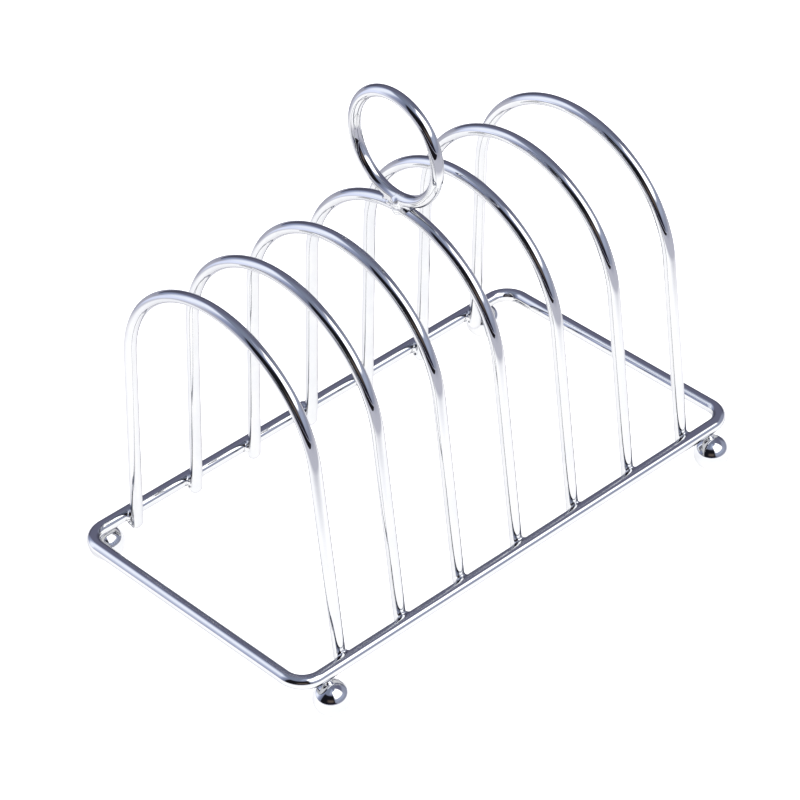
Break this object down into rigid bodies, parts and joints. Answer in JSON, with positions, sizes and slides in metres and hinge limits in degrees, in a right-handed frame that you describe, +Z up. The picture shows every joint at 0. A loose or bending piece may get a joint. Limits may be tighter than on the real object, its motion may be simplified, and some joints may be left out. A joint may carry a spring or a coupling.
{
  "type": "toast rack",
  "caption": "Chrome wire rack whose row of rounded arches holds slices of toast on edge, with ball feet under its frame and a ring on top to lift it by.",
  "frame": {"origin": "centre of the footprint, on the plane that the four feet stand on", "axes": "+X along the row of arches (the rack's length), +Y across the row in the plane of each arch, +Z up"},
  "size_m": [0.205, 0.127, 0.1718],
  "materials": {
    "chrome_wire": "polished chrome plate on drawn steel wire",
    "chrome_feet": "polished chrome plate on steel balls"
  },
  "bodies": {
    "root": {"base_frame": "chrome_wire", "arch_1": "chrome_wire", "arch_2": "chrome_wire", "arch_3": "chrome_wire", "arch_4": "chrome_wire", "arch_5": "chrome_wire", "arch_6": "chrome_wire", "arch_7": "chrome_wire", "ring_handle": "chrome_wire", "foot_near_left": "chrome_feet", "foot_near_right": "chrome_feet", "foot_far_left": "chrome_feet", "foot_far_right": "chrome_feet"}
  },
  "joints": []
}
